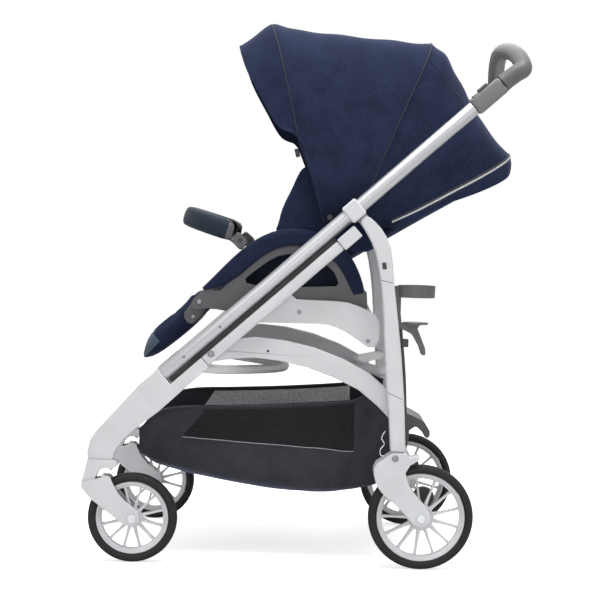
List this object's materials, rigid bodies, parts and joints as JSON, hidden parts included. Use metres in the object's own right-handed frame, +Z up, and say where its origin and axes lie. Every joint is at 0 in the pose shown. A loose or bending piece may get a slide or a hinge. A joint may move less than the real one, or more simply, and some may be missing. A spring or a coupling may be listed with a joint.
{
  "type": "pushchair",
  "caption": "Pushchair with swivelling front casters, a sliding-link folding chassis, a reclining padded seat, a folding hood, a basket and a cup holder.",
  "frame": {"origin": "on the ground, at the middle of the pushchair's length and width", "axes": "+X to the rear, +Y to the pushchair's right, +Z up; it is pushed towards -X"},
  "size_m": [0.8713, 0.5899, 1.091],
  "materials": {
    "white_paint": "satin",
    "satin_aluminium": "satin",
    "grey_moulding": "fine grain",
    "grey_grip": "grained, stitched",
    "tyre_rubber": "matt",
    "seal_rubber": "matt",
    "navy_cloth": "woven melange",
    "navy_leather": "fine grain",
    "basket_cloth": "woven, with mesh windows",
    "steel": "polished"
  },
  "bodies": {
    "root": {"front_leg_left": "white_paint", "front_leg_right": "white_paint", "push_tube_left": "satin_aluminium", "push_tube_right": "satin_aluminium", "frame_tube_left": "white_paint", "frame_tube_right": "white_paint", "lock_housing_left": "white_paint", "lock_housing_right": "white_paint", "tube_seal_left": "seal_rubber", "tube_seal_right": "seal_rubber", "handle_socket_left": "grey_moulding", "handle_socket_right": "grey_moulding", "front_bow": "white_paint", "handle_grip": "grey_grip", "basket": "basket_cloth"},
    "fold_button_left": {"fold_button_left": "grey_moulding"},
    "fold_button_right": {"fold_button_right": "grey_moulding"},
    "links": {"lower_link_left": "white_paint", "lower_link_right": "white_paint"},
    "rear_frame": {"rear_leg_left": "white_paint", "rear_leg_right": "white_paint", "rear_fork_left": "white_paint", "rear_fork_right": "white_paint", "rear_axle_left": "steel", "rear_axle_right": "steel", "rear_bow": "white_paint", "rear_cross_tube": "white_paint", "cup_holder": "grey_moulding"},
    "sleeves": {"tube_sleeve_left": "white_paint", "tube_sleeve_right": "white_paint"},
    "rear_wheel_left": {"rear_wheel_left_rim": "white_paint", "rear_wheel_left_tyre": "tyre_rubber"},
    "rear_wheel_right": {"rear_wheel_right_rim": "white_paint", "rear_wheel_right_tyre": "tyre_rubber"},
    "brake_pedal": {"brake_pedal": "grey_moulding"},
    "caster_left": {"caster_body_left": "white_paint"},
    "caster_right": {"caster_body_right": "white_paint"},
    "front_fork_left": {"front_fork_left": "white_paint", "front_axle_left": "steel"},
    "front_fork_right": {"front_fork_right": "white_paint", "front_axle_right": "steel"},
    "front_wheel_left": {"front_wheel_left_rim": "white_paint", "front_wheel_left_tyre": "tyre_rubber"},
    "front_wheel_right": {"front_wheel_right_rim": "white_paint", "front_wheel_right_tyre": "tyre_rubber"},
    "seat": {"seat_carrier_left": "white_paint", "seat_carrier_right": "white_paint", "seat_side_left": "grey_moulding", "seat_side_right": "grey_moulding", "armrest_pad_left": "navy_cloth", "armrest_pad_right": "navy_cloth", "seat_cushion": "navy_cloth"},
    "backrest": {"backrest_pad": "navy_cloth", "hood_rear": "navy_cloth"},
    "hood": {"hood_front": "navy_cloth"},
    "legrest": {"legrest_pad": "navy_cloth", "legrest_bracket_left": "grey_moulding", "legrest_bracket_right": "grey_moulding"},
    "bumper": {"bumper_bar": "navy_leather"}
  },
  "joints": [
    {"name": "chassis_fold", "type": "hinge", "parent": "root", "child": "links", "pos_m": [-0.1825, 0, 0.4205], "axis": [0, -1, 0], "range_deg": [0, 30], "deforming": ["basket"]},
    {"name": "rear_leg_hinge", "type": "hinge", "parent": "links", "child": "rear_frame", "pos_m": [0.18756, 0, 0.31257], "axis": [0, -1, 0], "range_deg": [-60, 0]},
    {"name": "sleeve_hinge", "type": "hinge", "parent": "rear_frame", "child": "sleeves", "pos_m": [0.11824, 0, 0.69176], "axis": [0, -1, 0], "range_deg": [0, 30]},
    {"name": "seat_tilt", "type": "hinge", "parent": "root", "child": "seat", "pos_m": [-0.04141, 0, 0.54776], "axis": [0, -1, 0], "range_deg": [0, 30]},
    {"name": "recline", "type": "hinge", "parent": "seat", "child": "backrest", "pos_m": [0.0745, 0, 0.598], "axis": [0, -1, 0], "range_deg": [0, 35]},
    {"name": "hood_fold", "type": "hinge", "parent": "backrest", "child": "hood", "pos_m": [0.0845, 0, 0.655], "axis": [0, 1, 0], "range_deg": [0, 55], "deforming": ["hood_front", "hood_rear"]},
    {"name": "legrest_tilt", "type": "hinge", "parent": "seat", "child": "legrest", "pos_m": [-0.2135, 0, 0.521], "axis": [0, 1, 0], "range_deg": [-10, 40]},
    {"name": "bumper_swing", "type": "hinge", "parent": "seat", "child": "bumper", "pos_m": [-0.1335, 0, 0.648], "axis": [0, 1, 0], "range_deg": [-15, 60]},
    {"name": "brake_tilt", "type": "hinge", "parent": "rear_frame", "child": "brake_pedal", "pos_m": [0.2095, 0, 0.2225], "axis": [0, 1, 0], "range_deg": [0, 18]},
    {"name": "rear_wheel_left_spin", "type": "hinge", "parent": "rear_frame", "child": "rear_wheel_left", "pos_m": [0.243, -0.265, 0.105], "axis": [0, 1, 0], "continuous": true},
    {"name": "caster_left_swivel", "type": "hinge", "parent": "root", "child": "caster_left", "pos_m": [-0.398, -0.265, 0.2065], "axis": [0, 0, 1], "continuous": true},
    {"name": "front_suspension_left", "type": "hinge", "parent": "caster_left", "child": "front_fork_left", "pos_m": [-0.4245, -0.265, 0.151], "axis": [0, -1, 0], "range_deg": [0, 6], "stiffness_Nm_per_rad": 25, "springref_deg": -14.32},
    {"name": "front_wheel_left_spin", "type": "hinge", "parent": "front_fork_left", "child": "front_wheel_left", "pos_m": [-0.3325, -0.265, 0.0895], "axis": [0, 1, 0], "continuous": true},
    {"name": "fold_button_left_slide", "type": "slide", "parent": "root", "child": "fold_button_left", "axis": [0.7426, 0, 0.6698], "range_m": [0, 0.006], "stiffness_N_per_m": 200, "springref_m": -0.004},
    {"name": "rear_wheel_right_spin", "type": "hinge", "parent": "rear_frame", "child": "rear_wheel_right", "pos_m": [0.243, 0.265, 0.105], "axis": [0, 1, 0], "continuous": true},
    {"name": "caster_right_swivel", "type": "hinge", "parent": "root", "child": "caster_right", "pos_m": [-0.398, 0.265, 0.2065], "axis": [0, 0, 1], "continuous": true},
    {"name": "front_suspension_right", "type": "hinge", "parent": "caster_right", "child": "front_fork_right", "pos_m": [-0.4245, 0.265, 0.151], "axis": [0, -1, 0], "range_deg": [0, 6], "stiffness_Nm_per_rad": 25, "springref_deg": -14.32},
    {"name": "front_wheel_right_spin", "type": "hinge", "parent": "front_fork_right", "child": "front_wheel_right", "pos_m": [-0.3325, 0.265, 0.0895], "axis": [0, 1, 0], "continuous": true},
    {"name": "fold_button_right_slide", "type": "slide", "parent": "root", "child": "fold_button_right", "axis": [0.7426, 0, 0.6698], "range_m": [0, 0.006], "stiffness_N_per_m": 200, "springref_m": -0.004}
  ],
  "couplings": [
    {"joint": "rear_leg_hinge", "follows": "chassis_fold", "ratio": -2},
    {"joint": "sleeve_hinge", "follows": "chassis_fold", "ratio": 1},
    {"joint": "seat_tilt", "follows": "chassis_fold", "ratio": 1}
  ]
}
